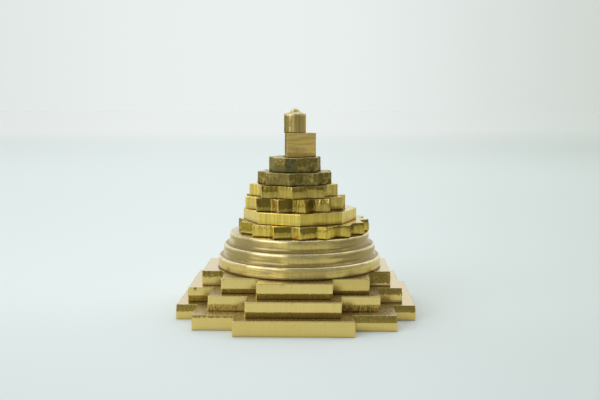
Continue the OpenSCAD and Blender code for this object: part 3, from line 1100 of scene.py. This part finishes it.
# fall and rise give the ranges for facets that run towards the middle and away from it
# facets, anticlockwise from the left: torn share of the height, its strength, tone, rag and how pale it is
# painted over the orange glow that it reflects
# a torn share starts from the top, or from the foot if it is below 0
# spots: facet, place along it, height and size
lowerSquare = {
    **squareSet,
    "name": "lowerSquare", "node": "lower_square_plate", "body": "base", "slot": "square_brass", "seed": 3,
    "dirtRise": 0.15,
    "fall": {"torn": (0.25, 0.50), "tone": (0.3, 1.0)}, "rise": {"torn": (0.20, 0.45), "tone": (0.0, 0.7)},
    "facets": {
        0: (0.46, 1.0, 0.65, 0.5), 2: (0.20, 0.6, 0.4), 4: (0.0, 0.0, 0.65), 6: (0.46, 1.0, 0.6),
        8: (0.46, 1.0, 0.95, 0.2),
    },
    "rag": 0.08, "waveSize": 6.0, "groove": 0.012,
}
middleSquare = {
    **squareSet,
    "name": "middleSquare", "node": "middle_square_plate", "body": "base", "slot": "square_brass", "seed": 5,
    "fall": {"torn": (-0.50, -0.30), "tone": (0.3, 1.0)}, "rise": {"torn": (0.25, 0.45), "tone": (0.0, 0.7)},
    "facets": {
        0: (-0.46, 0.8, 0.3, 0.2), 2: (-0.5, 0.45, 0.1), 4: (-0.38, 0.9, 0.0), 6: (-0.5, 0.54, 0.0),
        8: (0.45, 0.85, 0.4, 0.7),
    },
    "spots": ((0, 0.30, 0.90, 0.32),),
    "groove": 0.015,
}
upperSquare = {
    **squareSet,
    "name": "upperSquare", "node": "upper_square_plate", "body": "base", "slot": "square_brass", "seed": 8,
    "fall": {"torn": (-0.45, -0.30), "tone": (0.3, 1.0)}, "rise": {"torn": (0.25, 0.45), "tone": (0.0, 0.7)},
    "facets": {
        0: (0.42, 1.0, 0.5, 0.7), 2: (-0.33, 0.95, 0.15), 4: (-0.37, 0.95, 0.1), 6: (-0.22, 1.0, 1.0),
        8: (0.8, 0.75, 0.3, 0.4),
    },
    "groove": 0.02, "grooveSize": 0.8,
}
sixteenPetals = {
    "name": "sixteenPetals", "node": "petal_plate_16", "body": "sixteen_petals", "slot": "petal_brass",
    "seed": 12, "cornerRound": 0.45, "topRound": 0.10, "footRound": 0.38, "dirtRise": 0.45,
    "hollowDirtAndShade": (0.3, 0.55),
    "fall": {"torn": (0.40, 0.60), "tone": (0.4, 1.0)}, "rise": {"torn": (0.0, 0.05), "tone": (0.0, 0.4)},
    "facets": {
        0: (0.85, 1.0, 1.0), 2: (0.85, 1.0, 1.0), 4: (0.35, 0.5, 0.1), 6: (0.52, 1.0, 0.3),
        7: (0.0, 0.0, 0.0, 0.45, 1.0), 8: (0.55, 0.9, 0.25), 9: (0.42, 0.75, 0.7), 10: (0.3, 0.5, 0.25),
        11: (0.25, 0.8, 0.1), 13: (0.3, 0.8, 0.2), 15: (0.3, 0.8, 0.2),
    },
    "tornRamp": 0.35, "waveSize": 2.2, "grooveSize": 0.7,
}
eightPetals = {
    "name": "eightPetals", "node": "petal_plate_8", "body": "eight_petals", "slot": "petal_brass",
    "seed": 17, "cornerRound": 0.30, "footRound": 0.16, "dirtRise": 0.35, "hollowDirtAndShade": (0.2, 0.3),
    "lean": 0.03,
    "fall": {"torn": (0.0, 0.05), "tone": (0.0, 0.2)}, "rise": {"torn": (0.0, 0.05), "tone": (0.0, 0.2)},
    "facets": {0: (0.0, 0.0, 0.0), 1: (0.0, 0.0, 0.05), 2: (0.0, 0.0, 0.1), 3: (0.0, 0.0, 0.0)},
    "tornTilt": 5.0, "tornRamp": 0.30, "rag": 0.3, "ragSize": 0.9, "wave": 0.03, "waveSize": 2.5,
    "groove": 0.05, "grooveSize": 0.4, "grooveDrift": 0.06,
}
fourteenPoints = {
    "name": "fourteenPoints", "node": "star_plate_14", "body": "fourteen_points", "slot": "star_brass",
    "seed": 23, "cornerRound": 0.35, "dirtRise": 0.40, "hollowDirtAndShade": (0.7, 0.62), "lean": 0.06,
    "fall": {"torn": (0.65, 0.85), "tone": (0.3, 0.7)}, "rise": {"torn": (0.0, 0.05), "tone": (0.0, 0.3)},
    "facets": {
        2: (0.0, 0.0, 0.0), 4: (0.72, 0.95, 0.4), 5: (0.0, 0.0, 0.1, 0.45, 1.0), 6: (0.72, 0.9, 0.4),
        7: (0.6, 0.75, 0.7), 8: (0.75, 0.9, 0.5), 9: (0.5, 0.6, 0.25), 11: (0.0, 0.0, 0.05),
        13: (0.0, 0.0, 0.05),
    },
}
outerTenPoints = {
    "name": "outerTenPoints", "node": "star_plate_outer_10", "body": "outer_ten_points",
    "slot": "star_brass", "seed": 29, "dirtRise": 0.30, "hollowDirtAndShade": (0.5, 0.6),
    "fall": {"torn": (0.50, 0.62), "tone": (0.2, 0.7)}, "rise": {"torn": (0.0, 0.05), "tone": (0.0, 0.3)},
    "facets": {
        0: (0.0, 0.0, 0.0), 2: (0.52, 1.0, 0.3), 3: (0.3, 0.5, 1.0), 4: (0.50, 0.6, 0.1),
        5: (0.28, 0.9, 0.0), 7: (0.0, 0.0, 0.0),
    },
    "groove": 0.04, "grooveSize": 0.5, "grooveDrift": 0.10,
}
innerTenPoints = {
    "name": "innerTenPoints", "node": "star_plate_inner_10", "body": "inner_ten_points",
    "slot": "dark_star_brass", "seed": 31, "dirtRise": 0.45, "hollowDirtAndShade": (0.4, 0.6),
    "fall": {"torn": (0.40, 0.65), "tone": (0.1, 0.4)}, "rise": {"torn": (0.2, 0.4), "tone": (0.0, 0.3)},
    "facets": {
        2: (0.5, 0.8, 0.5), 3: (0.4, 0.8, 0.46), 4: (0.6, 0.8, 0.05), 5: (0.5, 0.7, 0.0),
        7: (0.0, 0.0, 0.0), 8: (0.0, 0.0, 0.0),
    },
    "tornTilt": 4.0, "tornRamp": 0.45, "waveSize": 1.8, "groove": 0.035,
}
eightPoints = {
    "name": "eightPoints", "node": "star_plate_8", "body": "eight_points", "slot": "dark_star_brass",
    "seed": 37, "dirtRise": 0.40, "hollowDirtAndShade": (0.3, 0.5),
    "fall": {"torn": (0.40, 0.60), "tone": (0.2, 0.5)}, "rise": {"torn": (0.20, 0.50), "tone": (0.4, 0.8)},
    "facets": {
        0: (0.3, 0.7, 0.4), 2: (0.5, 0.9, 0.80), 3: (0.0, 0.0, 0.97), 4: (0.5, 0.8, 0.08),
        5: (0.4, 0.7, 0.1),
    },
    "tornTilt": 1.5, "tornRamp": 0.45, "rag": 0.5, "wave": 0.05, "waveSize": 1.6,
    "groove": 0.035, "nick": 0.06,
}
triangle = {
    "name": "triangle", "node": "triangle_block", "body": "triangle", "slot": "finial_brass", "seed": 41,
    "topRound": 0.12, "footRound": 0.12, "dirtRise": 0.18, "hollowDirtAndShade": (0.2, 0.3), "lean": 0.02,
    "fall": {"torn": (0.0, 0.05), "tone": (1.0, 1.0)}, "rise": {"torn": (0.0, 0.05), "tone": (1.0, 1.0)},
    # the left face is painted darker: painted shade on that side
    "facets": {0: (0.85, 1.0, 0.0)},
    "tornTilt": 1.0, "tornRamp": 0.30, "rag": 0.3, "ragSize": 0.9, "waveSize": 2.5,
    "groove": 0.015, "grooveSize": 0.8, "grooveDrift": 0.3, "nick": 0.10, "nickSize": 0.8,
}
plates = (lowerSquare, middleSquare, upperSquare, sixteenPetals, eightPetals, fourteenPoints, outerTenPoints,
          innerTenPoints, eightPoints, triangle)
for plate in plates:
    makePlate(plate)


# a turned piece's side, from the foot up, with long runs divided
def turnedProfile(points, centre, look):
    pairs = {((p.xy - centre).length, round(p.z, 6)) for p in points}
    corners = []
    for pair in sorted(pairs, key=lambda pair: (pair[1], -pair[0])):
        if not corners or (Vector(pair) - corners[-1]).length > meshSet["merge"] * mm:
            corners.append(Vector(pair))
    profile = []
    for start, end in zip(corners, corners[1:]):
        parts = max(1, round((end - start).length / (look["step"] * mm)))
        profile += [start.lerp(end, part / parts) for part in range(parts)]
    return profile + [corners[-1]]


def bendAt(profile, i):
    if i == 0 or i == len(profile) - 1:
        return 0.0
    arrive = profile[i] - profile[i - 1]
    leave = profile[i + 1] - profile[i]
    return math.atan2(arrive.cross(leave), arrive.dot(leave))


# 0 where a hollow stands upright, 1 where it lies level
def hollowShare(profile, i):
    run = (profile[i + 1] - profile[i - 1]).normalized()
    start, span = meshSet["hollowRise"]
    return inUnit((abs(run.x) - start) / span)


# 0 at half height of a step, 1 at its ends
def barrelShare(profile, radius, height):
    heights = [point.y for point in profile if abs(point.x - radius) < meshSet["weld"] * mm]
    low, high = min(heights), max(heights)
    return (2 * (height - low) / (high - low) - 1) ** 2 if high - low > mm else 1.0


# stains and painted shade on one side: bearing, half width, strength and from which height
def stainAndShadeAt(look, angle, height):
    stainedAndShaded = 0.0
    for bearing, width, strength, start in look["stainsAndShade"]:
        apart = abs((math.degrees(angle) - bearing + 180) % 360 - 180)
        above = inUnit(height / mm - start)
        stainedAndShaded = max(stainedAndShaded, strength * above * (1 - apart / width))
    return min(1.0, stainedAndShaded)


# dirt and painted shade at each level of a turned side: in the seams and in the hollows, and painted shade
# at the foot
def turnedDirtAndShade(look, profile, bends, foot):
    seams = [point for point, bend in zip(profile, bends) if bend < meshSet["seamBend"]]
    dirts = []
    for i, (point, bend) in enumerate(zip(profile, bends)):
        apart = min([(point - seam).length for seam in seams], default=meshSet["farAway"] * mm)
        dirt = look["dirtShare"] * max(0.0, 1 - apart / (look["dirtRise"] * mm)) ** 2
        if bend < meshSet["hollowBend"]:
            dirt = max(dirt, look["hollowDirtAndShade"] * hollowShare(profile, i))
        # painted shade at the foot, where the piece stands on the one below
        fromFoot = (point.y - foot) / (look["footShade"] * mm)
        dirts.append(max(dirt, min(1.0, 2 - 2 * fromFoot)))
    return dirts


# a piece turned on a lathe, its side taken from the solid
def makeTurned(look):
    shell, _, points = openShell(look["node"])
    lowest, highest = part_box(look["node"])
    centre = (lowest.xy + highest.xy) / 2
    layers = {name: shell.verts.layers.float.new(name) for name in wallLayers}
    profile = turnedProfile(points, centre, look)
    bends = [bendAt(profile, i) for i in range(len(profile))]
    rings = []
    tip = None
    dirts = turnedDirtAndShade(look, profile, bends, lowest.z)
    for (radius, height), bend, dirt in zip(profile, bends, dirts):
        if radius < meshSet["weld"] * mm:
            tip = shell.verts.new((centre.x, centre.y, height))
            continue
        rise = height - lowest.z
        # convex bends are painted pale, rubbed wear and painted highlight; on the finial everything above a
        # given height is painted pale as a painted highlight on the cone and nub
        edge = 1.0 if bend > meshSet["edgeBend"] or rise > look["highlightFrom"] * mm else 0.0
        bulge = look["bulge"] * mm * barrelShare(profile, radius, height)
        ring = []
        for i in range(look["sides"]):
            angle = 2 * math.pi * i / look["sides"]
            out = Vector((math.cos(angle), math.sin(angle)))
            point = (*(centre + out * radius), height)
            inset = bulge + look["wave"] * mm * ruffle(look, "wave", point)
            inset += look["nick"] * mm * nickAt(look, point) * edge
            vert = shell.verts.new((*(centre + out * (radius - inset)), height))
            # stains and painted shade by bearing; they go into the torn layer and dim the pale edges
            stainedAndShaded = stainAndShadeAt(look, angle, rise)
            vert[layers["edge"]] = edge * (1 - look["stainAndShadeOnEdge"] * stainedAndShaded)
            vert[layers["dirt"]] = dirt
            vert[layers["torn"]] = stainedAndShaded * (1 - edge * (1 - look["stainAndShadeOnEdge"]))
            ring.append(vert)
        rings.append(ring)
    joinRings(shell, rings)
    if tip:
        for i in range(look["sides"]):
            shell.faces.new((rings[-1][i - 1], rings[-1][i], tip))
    capLevel(shell, lowest.z)
    if not tip:
        capLevel(shell, highest.z)
        lowerTop(shell, highest.z)
    settle(shell, look)


ringDrum = {
    "name": "ringDrum", "node": "ring_drum", "body": "base", "slot": "drum_brass", "seed": 51,
    "sides": 288, "step": 0.20, "bulge": 0.05, "highlightFrom": 99.0,
    "dirtRise": 0.30, "dirtShare": 0.80, "hollowDirtAndShade": 0.62, "footShade": 0.50,
    # stains and painted shade by bearing: darker left and right of the window's highlight, and over the
    # highlight itself
    "stainsAndShade": ((222.0, 46.0, 0.95, 2.2), (327.0, 44.0, 1.2, 2.2), (250.0, 30.0, 0.60, -1.0)),
    "stainAndShadeOnEdge": 0.6, "wave": 0.03, "waveSize": 4.0, "nick": 0.04, "nickSize": 0.8,
}
binduFinial = {
    "name": "binduFinial", "node": "bindu_finial", "body": "finial", "slot": "finial_brass", "seed": 61,
    # the cone and nub are painted pale from 3.9 mm up, a painted highlight
    "sides": 96, "step": 0.25, "bulge": 0.0, "highlightFrom": 3.9,
    "dirtRise": 0.25, "dirtShare": 0.1, "hollowDirtAndShade": 0.0, "footShade": 0.25,
    # stains and painted shade over the window's highlight on the left
    "stainsAndShade": ((205.0, 62.0, 1.5, -1.0),),
    "stainAndShadeOnEdge": 0.0, "wave": 0.03, "waveSize": 1.5, "nick": 0.08, "nickSize": 0.7,
}
for turned in (ringDrum, binduFinial):
    makeTurned(turned)


# the rod, nut, washer and pins stay as drawn
hardware = {"nodes": ("tie_rod", "rod_nut", "rod_washer", "dowel_pins"), "slot": "hardware_brass"}
for nodeName in hardware["nodes"]:
    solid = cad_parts[nodeName]
    solid.data.materials.clear()
    solid.data.materials.append(brass[hardware["slot"]])
print("hardware finished:", len(hardware["nodes"]))


bpy.context.view_layer.update()
